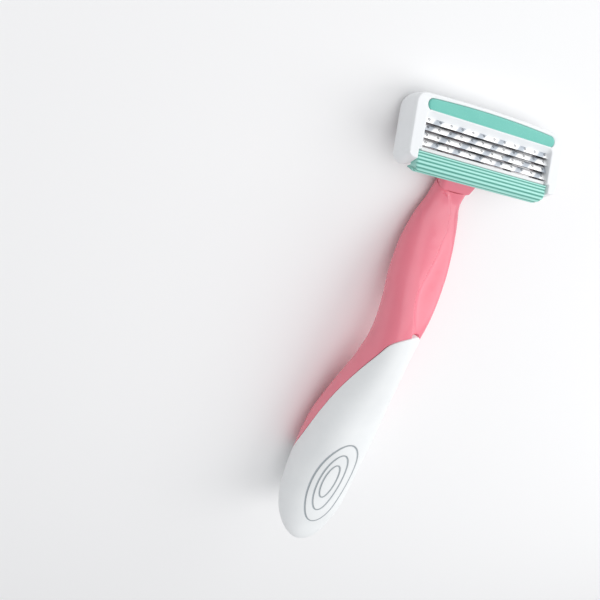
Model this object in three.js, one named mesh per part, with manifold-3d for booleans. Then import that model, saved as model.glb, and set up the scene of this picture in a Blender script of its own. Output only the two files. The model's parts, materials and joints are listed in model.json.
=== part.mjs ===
// A cartridge razor lying on its back, blades up: millimetres, +Z up, head towards -Y.
// The head is drawn in its own frame: x to the side, y from the guard to the cap, z out of the
// blades. The docking parts are drawn about the pivot: z along the nose, towards the head.
import * as THREE from 'three';
import { mergeVertices } from 'three/addons/utils/BufferGeometryUtils.js';
import Module from 'manifold-3d';

const wasm = await Module();
wasm.setup();

// Driving dimensions
const GAP = 0.3; // between pieces that meet
const MIDDLE_Y = 61.36; // from the middle of the blades to the middle of the whole razor

const HEAD_TILT = 33.5; // degrees that the blade plane leans over the table
const HEAD_Z = 9.15; // height of the middle of the blades
const FRAME_HALF = 19.8; // half the width of the cover frame
const FRAME_LOW = -6.3; // the frame's edge on the guard side
const FRAME_HIGH = 8.0; // the frame's edge on the cap side, at its ends
const FRAME_ARCH = 0.45; // how much higher that edge is in the middle
const FRAME_CORNER = 2.7;
const FACE_Z = 0.8;
const BACK_Z = -5.3;
const WINDOW_HALF = 16.5;
const WINDOW_TOP = 3.9;
const GUARD_HALF = 16.9;
const GUARD_TOP = -4.3;

const BLADES = 4;
const BLADE_PITCH = 1.6;
const BLADE_HALF = 17.3;
const BLADE_TRAVEL_ROOM = 0.7;

const PIVOT_Y = -4.4; // in the head's frame
const PIVOT_Z = -6.9;
const PIN_RADIUS = 0.65;
const DOCK_RISE = 20; // degrees that the nose points up from the table
const NOSE_Y = -1.2; // the nose's middle line, below the pivot
const PLUNGER_RADIUS = 0.65;

const CAP_LENGTH = 20; // the rounded end of the handle
const SQUARENESS = 2.3; // 2 is an ellipse, more is squarer
const CORE_INSET = 1.8; // how deep the grip is
const CORE_START = 30; // along the handle, where its core begins
const BODY_RINGS = 24;
const CAP_RINGS = 7;
const RING_POINTS = 28;

// Centre line of the handle and its half width and half depth there: y, z, width, depth
const HANDLE = [
  [10.6, 3.6, 4.4, 2.6],
  [15.5, 3.0, 4.5, 2.7],
  [20.5, 3.5, 5.9, 3.2],
  [27.5, 5.2, 7.1, 4.5],
  [34.5, 7.6, 7.3, 5.5],
  [43.0, 10.4, 6.5, 6.3],
  [53.0, 11.5, 5.7, 6.6],
  [63.0, 11.4, 6.6, 6.9],
  [75.0, 10.2, 8.4, 7.8],
  [90.0, 9.3, 9.7, 9.6],
  [104.0, 10.3, 10.2, 8.9],
  [112.0, 11.5, 10.2, 8.3],
  [121.0, 13.5, 10.2, 8.0],
  [129.5, 17.6, 10.2, 7.8],
];

// Where the soft grip ends, seen from the side: it starts on the front and runs down to the back
const GRIP_EDGE = [
  [45.6, 30.0],
  [46.4, 18.6],
  [48.0, 17.0],
  [52.5, 15.6],
  [61.0, 12.9],
  [71.0, 10.6],
  [82.0, 8.9],
  [92.0, 6.9],
  [102.0, 2.8],
  [107.0, -6.0],
];
const GRIP_SKEW = 0.5; // how far the edge moves back for each millimetre across

// Joining and cutting
function solid(geometry) {
  const plain = geometry.index ? geometry.toNonIndexed() : geometry.clone();
  for (const name of Object.keys(plain.attributes)) {
    if (name !== 'position') plain.deleteAttribute(name);
  }
  const merged = mergeVertices(plain, 1e-5);
  const mesh = new wasm.Mesh({
    numProp: 3,
    vertProperties: new Float32Array(merged.attributes.position.array),
    triVerts: new Uint32Array(merged.index.array),
  });
  return new wasm.Manifold(mesh);
}

function geometryOf(body) {
  const mesh = body.getMesh();
  const geometry = new THREE.BufferGeometry();
  geometry.setAttribute('position', new THREE.BufferAttribute(mesh.vertProperties, 3));
  geometry.setIndex(new THREE.BufferAttribute(mesh.triVerts, 1));
  return geometry;
}

// Shapes
function box(x, y, z) {
  const geometry = new THREE.BoxGeometry(x[1] - x[0], y[1] - y[0], z[1] - z[0]);
  geometry.translate((x[0] + x[1]) / 2, (y[0] + y[1]) / 2, (z[0] + z[1]) / 2);
  return solid(geometry);
}

function bothSides(x, y, z) {
  return box(x, y, z).add(box([-x[1], -x[0]], y, z));
}

function plate(shape, z) {
  const geometry = new THREE.ExtrudeGeometry(shape, {
    depth: z[1] - z[0],
    bevelEnabled: false,
    curveSegments: 6,
  });
  geometry.translate(0, 0, z[0]);
  return solid(geometry);
}

// A section drawn in y and z, drawn out along x
function bar(points, x) {
  const shape = new THREE.Shape(points.map(([y, z]) => new THREE.Vector2(y, z)));
  const geometry = new THREE.ExtrudeGeometry(shape, { depth: x[1] - x[0], bevelEnabled: false });
  geometry.applyMatrix4(
    new THREE.Matrix4().makeBasis(
      new THREE.Vector3(0, 1, 0),
      new THREE.Vector3(0, 0, 1),
      new THREE.Vector3(1, 0, 0),
    ),
  );
  geometry.translate(x[0], 0, 0);
  return solid(geometry);
}

function rodAlongX(radius, x, y, z) {
  const geometry = new THREE.CylinderGeometry(radius, radius, x[1] - x[0], 20);
  geometry.rotateZ(Math.PI / 2);
  geometry.translate((x[0] + x[1]) / 2, y, z);
  return solid(geometry);
}

function rodAlongZ(radius, z, y) {
  const geometry = new THREE.CylinderGeometry(radius, radius, z[1] - z[0], 20);
  geometry.rotateX(Math.PI / 2);
  geometry.translate(0, y, (z[0] + z[1]) / 2);
  return solid(geometry);
}

function roundedRectangle(left, right, low, high, radius) {
  const shape = new THREE.Shape();
  shape.moveTo(left + radius, low);
  shape.lineTo(right - radius, low);
  shape.absarc(right - radius, low + radius, radius, -Math.PI / 2, 0);
  shape.lineTo(right, high - radius);
  shape.absarc(right - radius, high - radius, radius, 0, Math.PI / 2);
  shape.lineTo(left + radius, high);
  shape.absarc(left + radius, high - radius, radius, Math.PI / 2, Math.PI);
  shape.lineTo(left, low + radius);
  shape.absarc(left + radius, low + radius, radius, Math.PI, Math.PI * 1.5);
  return shape;
}

// A skin through rings of equally many points, closed at both ends
function loft(rings) {
  const count = rings[0].length;
  const points = rings.flat();
  const triangles = [];
  for (let ring = 0; ring < rings.length - 1; ring += 1) {
    for (let i = 0; i < count; i += 1) {
      const a = ring * count + i;
      const b = ring * count + ((i + 1) % count);
      triangles.push(a, b, b + count, a, b + count, a + count);
    }
  }
  const closeEnd = (first, outward) => {
    const middle = new THREE.Vector3();
    for (let i = 0; i < count; i += 1) middle.addScaledVector(points[first + i], 1 / count);
    const hub = points.push(middle) - 1;
    for (let i = 0; i < count; i += 1) {
      const a = first + i;
      const b = first + ((i + 1) % count);
      if (outward) triangles.push(hub, a, b);
      else triangles.push(hub, b, a);
    }
  };
  closeEnd(0, false);
  closeEnd((rings.length - 1) * count, true);
  const geometry = new THREE.BufferGeometry().setFromPoints(points);
  geometry.setIndex(triangles);
  return solid(geometry);
}

function coil({ radius, wire, turns, from, to, place }) {
  class Helix extends THREE.Curve {
    getPoint(t, target = new THREE.Vector3()) {
      const angle = t * turns * Math.PI * 2;
      const along = from + (to - from) * t;
      return target.copy(place(radius * Math.cos(angle), radius * Math.sin(angle), along));
    }
  }
  const section = new THREE.Shape().absarc(0, 0, wire, 0, Math.PI * 2);
  const geometry = new THREE.ExtrudeGeometry(section, {
    extrudePath: new Helix(),
    steps: turns * 10,
    curveSegments: 3,
    bevelEnabled: false,
  });
  return solid(geometry);
}

// Groups
const razor = new THREE.Group();
razor.position.y = -MIDDLE_Y;

const head = new THREE.Group();
head.position.z = HEAD_Z;
head.rotation.set(THREE.MathUtils.degToRad(HEAD_TILT), 0, Math.PI);

const dock = new THREE.Group();
dock.position.set(0, PIVOT_Y, PIVOT_Z).applyEuler(head.rotation).add(head.position);
dock.rotation.x = THREE.MathUtils.degToRad(90 - DOCK_RISE);
razor.add(head, dock);

function addPiece(parent, name, body, color, roughness, metalness = 0) {
  const material = new THREE.MeshStandardMaterial({ color, roughness, metalness });
  const mesh = new THREE.Mesh(geometryOf(body), material);
  mesh.name = name;
  parent.add(mesh);
}

const WHITE = '#f2f4f5';
const TEAL = '#70c8ba';
const PINK = '#f4939f';
const STEEL = '#d5d9de';

// Head: cover frame
function frameOutline(inset) {
  const half = FRAME_HALF - inset;
  const low = FRAME_LOW + inset * 0.5;
  const high = FRAME_HIGH - inset;
  const radius = Math.max(FRAME_CORNER - inset * 0.5, 0.6);
  const shape = new THREE.Shape();
  shape.moveTo(-half + radius, low);
  shape.lineTo(half - radius, low);
  shape.absarc(half - radius, low + radius, radius, -Math.PI / 2, 0);
  shape.lineTo(half, high - radius);
  shape.absarc(half - radius, high - radius, radius, 0, Math.PI / 2);
  shape.quadraticCurveTo(0, high + FRAME_ARCH * 2, -half + radius, high);
  shape.absarc(-half + radius, high - radius, radius, Math.PI / 2, Math.PI);
  shape.lineTo(-half, low + radius);
  shape.absarc(-half + radius, low + radius, radius, Math.PI, Math.PI * 1.5);
  return shape;
}

function outlineRing(shape, z) {
  const points = shape.getPoints(6);
  const ring = points.filter((point, i) => i === 0 || point.distanceTo(points[i - 1]) > 1e-6);
  if (ring[0].distanceTo(ring[ring.length - 1]) < 1e-6) ring.pop();
  return ring.map((point) => new THREE.Vector3(point.x, point.y, z));
}

function slopedRectangle(x, low, high, z) {
  return [
    new THREE.Vector3(-x, low, z),
    new THREE.Vector3(x, low, z),
    new THREE.Vector3(x, high, z),
    new THREE.Vector3(-x, high, z),
  ];
}

const LUBE_HALF = 16.7;
const LUBE_LOW = 4.2;
const LUBE_END_RADIUS = 1.25;
const LUBE_ARCH = 0.55;
const LUBE_GAP = 0.2;

function lubeOutline(grow) {
  const half = LUBE_HALF + grow;
  const low = LUBE_LOW - grow;
  const radius = LUBE_END_RADIUS + grow;
  const high = low + radius * 2;
  const shape = new THREE.Shape();
  shape.moveTo(-half + radius, low);
  shape.lineTo(half - radius, low);
  shape.absarc(half - radius, low + radius, radius, -Math.PI / 2, Math.PI / 2);
  shape.quadraticCurveTo(0, high + LUBE_ARCH * 2, -half + radius, high);
  shape.absarc(-half + radius, low + radius, radius, Math.PI / 2, Math.PI * 1.5);
  return shape;
}

const WALL = 1.2;
const ROOF_Z = -1.3; // the underside of the frame's face
const LUBE_FLOOR = -0.2;

function coverFrame() {
  const edge = [
    [BACK_Z, -0.05],
    [BACK_Z + 0.8, -0.36],
    [-2.8, -0.4],
    [-0.3, 0.1],
    [FACE_Z - 0.35, 0.25],
    [FACE_Z, 0.6],
  ];
  const outside = loft(edge.map(([z, inset]) => outlineRing(frameOutline(inset), z)));
  const inside = plate(frameOutline(WALL), [BACK_Z - 1, ROOF_Z]);
  const window = loft([
    slopedRectangle(WINDOW_HALF - 0.2, FRAME_LOW - 3, WINDOW_TOP - 0.9, BACK_Z),
    slopedRectangle(WINDOW_HALF - 0.2, FRAME_LOW - 3, WINDOW_TOP - 0.9, -0.5),
    slopedRectangle(WINDOW_HALF + 0.1, FRAME_LOW - 3, WINDOW_TOP + 0.1, FACE_Z + 0.2),
  ]);
  const bladeEnds = box([-BLADE_HALF - GAP, BLADE_HALF + GAP], [-4.0, 3.4], [-1.4, 0.35]);
  const guardSeat = box(
    [-GUARD_HALF - GAP, GUARD_HALF + GAP],
    [FRAME_LOW - 3, GUARD_TOP + GAP],
    [BACK_Z - 1, FACE_Z + 1],
  );
  const strip = plate(lubeOutline(LUBE_GAP), [LUBE_FLOOR, FACE_Z + 2]);
  return outside
    .subtract(inside)
    .subtract(window)
    .subtract(bladeEnds)
    .subtract(guardSeat)
    .subtract(strip);
}

addPiece(head, 'cover_frame', coverFrame(), WHITE, 0.35);
addPiece(head, 'lube_strip', plate(lubeOutline(0), [LUBE_FLOOR + GAP, FACE_Z + 0.15]), TEAL, 0.5);

// Head: blades and their bent supports
function bladeY(i) {
  return ((BLADES - 1) / 2 - i) * BLADE_PITCH;
}

const LEG_BACK = 0.35; // the leg, behind the middle of its blade
const LEG_THICK = 0.3;
const LEG_LOW = -3.3;

for (let i = 0; i < BLADES; i += 1) {
  const y = bladeY(i);
  const steel = [
    [y - 0.62, 0.05],
    [y - 0.3, -0.2],
    [y + 0.6, -0.57],
    [y + 0.65, -0.45],
  ];
  const angle = [
    [y - 0.35, -0.33],
    [y + LEG_BACK + LEG_THICK, -0.73],
    [y + LEG_BACK + LEG_THICK, LEG_LOW],
    [y + LEG_BACK, LEG_LOW],
    [y + LEG_BACK, -0.9],
    [y - 0.45, -0.58],
  ];
  addPiece(head, `blade_${i + 1}`, bar(steel, [-BLADE_HALF, BLADE_HALF]), STEEL, 0.25, 1);
  addPiece(head, `blade_support_${i + 1}`, bar(angle, [-BLADE_HALF + 0.2, BLADE_HALF - 0.2]), STEEL, 0.4, 1);
}

// Head: housing, with the slots for the blades and the lugs of the pivot
const WELL_HALF = 16.2;
const WELL_LOW = -3.3;
const WELL_HIGH = 4.0;
const CROSSBAR_TOP = LEG_LOW - BLADE_TRAVEL_ROOM;
const CROSSBARS = [
  [-10.1, -8.7],
  [-2.4, 2.4],
  [8.7, 10.1],
];
const LUG_RADIUS = 1.8;
const LUG_X = [5.7, 7.1];

function lug(x) {
  const ring = rodAlongX(LUG_RADIUS, x, PIVOT_Y, PIVOT_Z);
  const web = box(x, [PIVOT_Y - LUG_RADIUS, PIVOT_Y + LUG_RADIUS], [PIVOT_Z, BACK_Z + 0.5]);
  const bore = rodAlongX(PIN_RADIUS + GAP, [x[0] - 1, x[1] + 1], PIVOT_Y, PIVOT_Z);
  return ring.add(web).subtract(bore);
}

function housing() {
  let body = plate(frameOutline(WALL + GAP), [BACK_Z, ROOF_Z - GAP]);
  body = body.subtract(box([-WELL_HALF, WELL_HALF], [WELL_LOW, WELL_HIGH], [BACK_Z - 1, 1]));
  body = body.subtract(box([-FRAME_HALF, FRAME_HALF], [-10, GUARD_TOP + 0.2], [-2.6, 1]));
  body = body.subtract(bothSides([WELL_HALF - 0.1, FRAME_HALF], [-3.6, 3.6], [-1.9, 1]));
  for (let i = 0; i < BLADES; i += 1) {
    const leg = bladeY(i) + LEG_BACK;
    const slot = [leg - 0.25, leg + LEG_THICK + 0.25];
    body = body.subtract(bothSides([WELL_HALF - 0.1, 17.4], slot, [CROSSBAR_TOP, 1]));
  }
  for (const x of CROSSBARS) {
    body = body.add(box(x, [WELL_LOW - 0.5, WELL_HIGH + 0.4], [BACK_Z, CROSSBAR_TOP]));
  }
  body = body.add(box([-WELL_HALF, WELL_HALF], [-4.1, -3.4], [-3.0, 0.05]));
  return body.add(lug(LUG_X)).add(lug([-LUG_X[1], -LUG_X[0]]));
}

addPiece(head, 'cartridge_housing', housing(), WHITE, 0.4);

// Head: ribbed guard, which wraps round the lower edge
const RIBS = 8;
const RIB_HEIGHT = 0.2;
const RIB_GROWTH = 1.25; // the ribs grow towards the lower edge
const GUARD_TIP = [-7.8, -3.0];

// From the flat by the blades, round the lower edge and down its outside
function guardCurve() {
  const corner = [];
  for (let i = 0; i <= 12; i += 1) {
    const angle = (i / 12) * (Math.PI / 2);
    corner.push(new THREE.Vector2(-6.1 - 2.0 * Math.sin(angle), -1.5 + 1.7 * Math.cos(angle)));
  }
  const path = new THREE.CurvePath();
  path.add(new THREE.LineCurve(new THREE.Vector2(GUARD_TOP, 0.25), corner[0]));
  path.add(new THREE.SplineCurve(corner));
  path.add(new THREE.LineCurve(corner[12], new THREE.Vector2(...GUARD_TIP)));
  return path;
}

function guard() {
  const curve = guardCurve();
  const points = [];
  for (let rib = 0; rib < RIBS; rib += 1) {
    for (let k = 0; k < 4; k += 1) {
      const along = ((rib + k / 4) / RIBS) ** RIB_GROWTH;
      const at = curve.getPointAt(along);
      const next = curve.getPointAt(Math.min(along + 0.01, 1));
      const before = curve.getPointAt(Math.max(along - 0.01, 0));
      const outward = new THREE.Vector2(before.y - next.y, next.x - before.x).normalize();
      const lift = RIB_HEIGHT * Math.sin((k / 4) * Math.PI);
      points.push([at.x - outward.x * lift, at.y - outward.y * lift]);
    }
  }
  points.push(GUARD_TIP, [-7.2, -3.6], [-6.9, -3.6], [-6.9, -2.3], [GUARD_TOP, -2.3]);
  const section = bar(points, [-GUARD_HALF, GUARD_HALF]);
  const corners = plate(roundedRectangle(-GUARD_HALF, GUARD_HALF, -8.3, 0, 1.6), [BACK_Z, 2]);
  return section.intersect(corners);
}

addPiece(head, 'guard_rubber', guard(), TEAL, 0.65);

// Docking: the connector that stays on the cartridge
function ring(halfX, low, high, z, radius) {
  return outlineRing(roundedRectangle(-halfX, halfX, low, high, radius), z);
}

const SOCKET_BACK = -4.5;
const SOCKET_FLOOR = -1.9;
const SOCKET_HALF = { x: 3.5, y: 2.2 };
const ARM_X = [3.7, 5.2];
const ARM_RADIUS = 1.3;

function connector() {
  const body = loft([
    ring(4.3, -4.2, 1.7, SOCKET_BACK, 1.5),
    ring(4.6, -3.9, 1.2, -2.6, 1.2),
    ring(5.0, -3.4, 0.6, -0.9, 0.8),
  ]);
  const cavity = box(
    [-SOCKET_HALF.x, SOCKET_HALF.x],
    [NOSE_Y - SOCKET_HALF.y, NOSE_Y + SOCKET_HALF.y],
    [SOCKET_BACK - 1, SOCKET_FLOOR],
  );
  const hole = rodAlongZ(PLUNGER_RADIUS + GAP, [SOCKET_FLOOR - 1, 2], NOSE_Y);
  const arm = (x) => rodAlongX(ARM_RADIUS, x, 0, 0).add(box(x, [-ARM_RADIUS, 0.9], [-1.6, 0]));
  const pin = (x) => rodAlongX(PIN_RADIUS, x, 0, 0);
  return body
    .subtract(cavity)
    .subtract(hole)
    .add(arm(ARM_X))
    .add(arm([-ARM_X[1], -ARM_X[0]]))
    .add(pin([ARM_X[1] - 0.1, LUG_X[1]]))
    .add(pin([-LUG_X[1], 0.1 - ARM_X[1]]));
}

addPiece(dock, 'cartridge_connector', connector(), PINK, 0.3);

// Docking: the sprung plunger in the nose
const PLUNGER_TIP = 1.8;
const COLLAR = [-3.3, -2.95];

function plunger() {
  const outline = [
    [0, COLLAR[0] - 0.6],
    [0.45, COLLAR[0] - 0.6],
    [0.45, COLLAR[0]],
    [1.05, COLLAR[0]],
    [1.05, COLLAR[1]],
    [PLUNGER_RADIUS, COLLAR[1]],
  ].map(([r, z]) => new THREE.Vector2(r, z));
  for (let i = 0; i <= 6; i += 1) {
    const angle = (i / 6) * (Math.PI / 2);
    const r = i === 6 ? 0 : PLUNGER_RADIUS * Math.cos(angle);
    outline.push(new THREE.Vector2(r, PLUNGER_TIP + PLUNGER_RADIUS * Math.sin(angle)));
  }
  const geometry = new THREE.LatheGeometry(outline, 16);
  geometry.rotateX(Math.PI / 2);
  geometry.translate(0, NOSE_Y, 0);
  return solid(geometry);
}

const plungerSpring = coil({
  radius: 0.85,
  wire: 0.08,
  turns: 3.5,
  from: -5.35,
  to: COLLAR[0] - 0.2,
  place: (a, b, along) => new THREE.Vector3(a, NOSE_Y + b, along),
});

addPiece(dock, 'plunger', plunger(), WHITE, 0.4);
addPiece(dock, 'plunger_spring', plungerSpring, STEEL, 0.3, 1);

// Handle
const stations = HANDLE.map(([y, z]) => new THREE.Vector3(0, y, z));
const spine = new THREE.CatmullRomCurve3(stations, false, 'centripetal');
const sizes = new THREE.CatmullRomCurve3(
  HANDLE.map(([, , width, depth]) => new THREE.Vector3(width, depth, 0)),
);
const spineLength = spine.getLength();

function handleRing(along, inset, closing, count) {
  const share = spine.getUtoTmapping(along / spineLength);
  const tangent = spine.getTangent(share);
  const up = new THREE.Vector3(0, -tangent.z, tangent.y).normalize();
  const middle = spine.getPoint(share);
  const size = sizes.getPoint(share);
  const power = 2 / SQUARENESS;
  const points = [];
  for (let i = 0; i < count; i += 1) {
    const angle = -(i / count) * Math.PI * 2;
    const across = Math.sign(Math.cos(angle)) * Math.abs(Math.cos(angle)) ** power;
    const upward = Math.sign(Math.sin(angle)) * Math.abs(Math.sin(angle)) ** power;
    const point = middle.clone().addScaledVector(up, upward * (size.y - inset) * closing);
    point.x = across * (size.x - inset) * closing;
    points.push(point);
  }
  return points;
}

// The handle's outline, shrunk by an inset; its last stretch closes as an ellipse does
function handleLoft(inset, from = 0) {
  const capStart = spineLength - CAP_LENGTH;
  const rings = [];
  for (let i = 0; i < BODY_RINGS; i += 1) {
    const along = from + ((capStart - from) * i) / BODY_RINGS;
    rings.push(handleRing(along, inset, 1, RING_POINTS));
  }
  for (let i = 0; i <= CAP_RINGS; i += 1) {
    const angle = (i / CAP_RINGS) * THREE.MathUtils.degToRad(88);
    const along = capStart + (CAP_LENGTH - inset) * Math.sin(angle);
    rings.push(handleRing(along, inset, Math.cos(angle), RING_POINTS));
  }
  return loft(rings);
}

// Everything on the grip's side of its edge, moved along by a gap
function gripSide(shift) {
  const points = GRIP_EDGE.map(([y, z]) => new THREE.Vector2(y + shift * 0.6, z + shift * 0.8));
  const edge = new THREE.SplineCurve(points).getPoints(27).map((p) => [p.x, p.y]);
  const skew = new THREE.Matrix4().makeShear(GRIP_SKEW, 0, 0, 0, 0, 0);
  const geometry = geometryOf(bar([...edge, [160, -10], [160, 40]], [-20, 20]));
  return solid(geometry.applyMatrix4(skew));
}

function soleFlat(height) {
  return box([-30, 30], [0, 160], [-20, height]);
}

function nose() {
  const half = { x: SOCKET_HALF.x - GAP, y: SOCKET_HALF.y - GAP };
  return box([-half.x, half.x], [NOSE_Y - half.y, NOSE_Y + half.y], [-6.2, SOCKET_FLOOR - GAP]);
}

// The room that the connector takes in front of the neck
function connectorRoom() {
  return box([-30, 30], [-15, 15], [SOCKET_BACK - GAP, 20]);
}

function chamber() {
  const spring = rodAlongZ(1.3, [-5.6, -2.7], NOSE_Y);
  return spring.add(rodAlongZ(PLUNGER_RADIUS + GAP, [-2.8, 0], NOSE_Y));
}

// A solid drawn about the pivot, moved into the handle's frame
function fromDock(body) {
  const geometry = geometryOf(body);
  dock.updateMatrix();
  geometry.applyMatrix4(dock.matrix);
  return solid(geometry);
}

const BUTTON = { half: 2.5, y: [17.9, 24.9], z: [0.5, 1.9], travel: 2.2 };
const PUSHER = { half: 1.2, y: [13.7, 21.0] };

function buttonRoom() {
  const front = BUTTON.y[0] - BUTTON.travel - GAP;
  const seat = plate(
    roundedRectangle(-BUTTON.half - GAP, BUTTON.half + GAP, front, BUTTON.y[1] + GAP, 2.2),
    [-2, BUTTON.z[1] + GAP],
  );
  const tongue = box(
    [-PUSHER.half - GAP, PUSHER.half + GAP],
    [8, 19],
    [-2, BUTTON.z[1]],
  );
  const pocket = box([-1.2, 1.2], [16.0, 24.6], [BUTTON.z[1], 4.1]);
  return seat.add(tongue).add(pocket);
}

function handleBody() {
  const outer = handleLoft(0).subtract(soleFlat(0)).subtract(gripSide(0));
  const core = handleLoft(CORE_INSET, CORE_START).intersect(gripSide(-2.5));
  return outer
    .subtract(fromDock(connectorRoom()))
    .add(core)
    .add(fromDock(nose()))
    .subtract(fromDock(chamber()))
    .subtract(buttonRoom());
}

function softGrip() {
  const outer = handleLoft(0).intersect(gripSide(GAP));
  return outer.subtract(handleLoft(CORE_INSET - GAP, CORE_START - 5));
}

addPiece(razor, 'handle_body', handleBody(), PINK, 0.25);
addPiece(razor, 'soft_grip', softGrip(), WHITE, 0.55);

// Release button under the neck, the pusher on it, and their spring
function releaseButton() {
  const shape = roundedRectangle(-BUTTON.half, BUTTON.half, ...BUTTON.y, 2.0);
  let body = plate(shape, [BUTTON.z[0] + 0.3, BUTTON.z[1]]);
  for (let i = 0; i < 4; i += 1) {
    const y = BUTTON.y[0] + 1.7 + i * 1.2;
    body = body.add(box([-1.7, 1.7], [y - 0.3, y + 0.3], [BUTTON.z[0], BUTTON.z[0] + 0.5]));
  }
  const slot = box([-PUSHER.half - 0.2, PUSHER.half + 0.2], [17, 21.2], [1.0, 3]);
  return body.subtract(slot);
}

function pusher() {
  const tongue = box([-PUSHER.half, PUSHER.half], PUSHER.y, [1.2, 1.8]);
  return tongue.add(box([-0.8, 0.8], [19.8, 20.8], [1.7, 3.8]));
}

const releaseSpring = coil({
  radius: 0.65,
  wire: 0.09,
  turns: 5,
  from: 16.3,
  to: 19.5,
  place: (a, b, along) => new THREE.Vector3(a, along, 3.15 + b),
});

addPiece(razor, 'release_button', releaseButton(), PINK, 0.35);
addPiece(razor, 'ejector_pusher', pusher(), WHITE, 0.4);
addPiece(razor, 'release_spring', releaseSpring, STEEL, 0.3, 1);

export default razor;
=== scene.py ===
# %% [markdown]
# A cartridge razor lies on its back with its blades up. The moulded handle is glossy pink with a white
# soft-touch grip. The head is white, with four blades, a teal lubricating strip and a ribbed guard.
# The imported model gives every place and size. Each visible piece is then made again here as a finer
# mesh on the same lines, because light shows every flat spot on glossy plastic.

# %% Load the frame
import json
import math

import bmesh
import bpy
import numpy as np
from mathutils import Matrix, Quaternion, Vector


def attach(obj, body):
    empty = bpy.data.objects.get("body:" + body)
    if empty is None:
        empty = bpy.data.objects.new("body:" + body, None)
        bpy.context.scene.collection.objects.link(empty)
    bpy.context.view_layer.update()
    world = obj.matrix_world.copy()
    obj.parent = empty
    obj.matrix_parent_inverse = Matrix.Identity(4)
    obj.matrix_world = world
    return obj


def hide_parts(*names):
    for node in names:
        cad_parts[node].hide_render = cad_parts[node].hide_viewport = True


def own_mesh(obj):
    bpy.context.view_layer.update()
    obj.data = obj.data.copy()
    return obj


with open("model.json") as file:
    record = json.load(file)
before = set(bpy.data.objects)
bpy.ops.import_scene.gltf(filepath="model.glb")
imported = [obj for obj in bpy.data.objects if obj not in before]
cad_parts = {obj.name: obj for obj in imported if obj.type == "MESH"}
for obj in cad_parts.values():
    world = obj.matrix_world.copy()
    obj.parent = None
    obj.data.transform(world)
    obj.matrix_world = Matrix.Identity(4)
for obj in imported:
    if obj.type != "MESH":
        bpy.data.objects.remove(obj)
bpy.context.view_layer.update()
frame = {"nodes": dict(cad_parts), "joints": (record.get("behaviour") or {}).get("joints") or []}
joints = {joint["name"]: joint for joint in frame["joints"]}
print("pieces in the frame:", len(frame["nodes"]))

# %% [markdown]
# The numbers below are millimetres, as a mould maker would draw them, and Blender works in metres.
# The head and the docking parts lean, so each has its own axes, and one matrix takes it to the table.

# %% Millimetres and the leaning axes
MM = 0.001
PIVOT = np.array(joints["cartridge_pivot"]["pos_m"]) / MM
HEAD_OUT = -np.array(joints["blade_1_float"]["axis"])
NOSE_OUT = np.array(joints["cartridge_release"]["axis"])
PIVOT_IN_HEAD = (-4.4, -6.9)


def axes(right, up, out, origin):
    """The matrix from a piece's own axes to the table's."""
    matrix = np.eye(4)
    matrix[:3, 0], matrix[:3, 1], matrix[:3, 2], matrix[:3, 3] = right, up, out, origin
    return matrix


head_up = np.array([0, -HEAD_OUT[2], HEAD_OUT[1]])
head_origin = PIVOT - PIVOT_IN_HEAD[0] * head_up - PIVOT_IN_HEAD[1] * HEAD_OUT
HEAD = axes((-1, 0, 0), head_up, HEAD_OUT, head_origin)
DOCK = axes((1, 0, 0), (0, NOSE_OUT[2], -NOSE_OUT[1]), NOSE_OUT, PIVOT)
HANDLE_START = head_origin[1]
HANDLE_AXES = axes((1, 0, 0), (0, 1, 0), (0, 0, 1), (0, HANDLE_START, 0))
print("middle of the blades, mm:", head_origin.round(2))

# %% [markdown]
# The camera stands above the guard side and looks down over the neck. It is rolled, so that the head
# is at the top of the frame and the handle runs down to the left.

# %% Camera
CAMERA_PLACE = Vector(head_origin + (78.9, -27.7, 112.15)) * MM
CAMERA_AIM = Vector(head_origin + (27.9, 45.9, 0.85)) * MM
CAMERA_ROLL = math.radians(161.0)

lens = bpy.data.cameras.new("camera")
lens.sensor_width = 36
lens.lens = 36
lens.clip_start = 0.005
camera = bpy.data.objects.new("camera", lens)
camera.rotation_mode = "QUATERNION"
camera.location = CAMERA_PLACE
level = (CAMERA_AIM - CAMERA_PLACE).to_track_quat("-Z", "Y")
camera.rotation_quaternion = level @ Quaternion((0, 0, 1), CAMERA_ROLL)
bpy.context.scene.collection.objects.link(camera)
bpy.context.scene.camera = camera
bpy.context.scene.view_settings.view_transform = "Standard"

# %% [markdown]
# A small product is lit with big soft lamps close by. One lamp on the side of the neck's crease gives
# the long highlights, a low one whitens the leaning blades, and a pale room fills the shadows.


# %% Studio light
def soft_lamp(name, place, aim, size, power):
    lamp = bpy.data.lights.new(name, "AREA")
    lamp.shape = "RECTANGLE"
    lamp.size, lamp.size_y = size[0] * MM, size[1] * MM
    lamp.energy = power
    shown = bpy.data.objects.new(name, lamp)
    shown.location = Vector(place) * MM
    shown.rotation_mode = "QUATERNION"
    shown.rotation_quaternion = (Vector(aim) * MM - shown.location).to_track_quat("-Z", "Y")
    bpy.context.scene.collection.objects.link(shown)


soft_lamp("crease_side_lamp", (-330, -60, 300), (0, 0, 8), (320, 420), 0.8)
soft_lamp("overhead_lamp", (60, -80, 520), (0, -20, 0), (520, 520), 1.1)
soft_lamp("blade_side_lamp", (-250, -430, 110), (0, -62, 9), (360, 200), 0.55)


# %% [markdown]
# Every finish is a small graph of nodes. One function adds a node, sets its values and links it, so a
# graph reads from top to bottom. Colours are written as the hex values that a paint chart gives.


# %% Adding nodes
def linear(hex_colour):
    """An sRGB hex colour as the linear values that Blender works with."""
    shares = [int(hex_colour[i : i + 2], 16) / 255 for i in (1, 3, 5)]
    values = [s / 12.92 if s <= 0.04045 else ((s + 0.055) / 1.055) ** 2.4 for s in shares]
    return (*values, 1)


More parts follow.
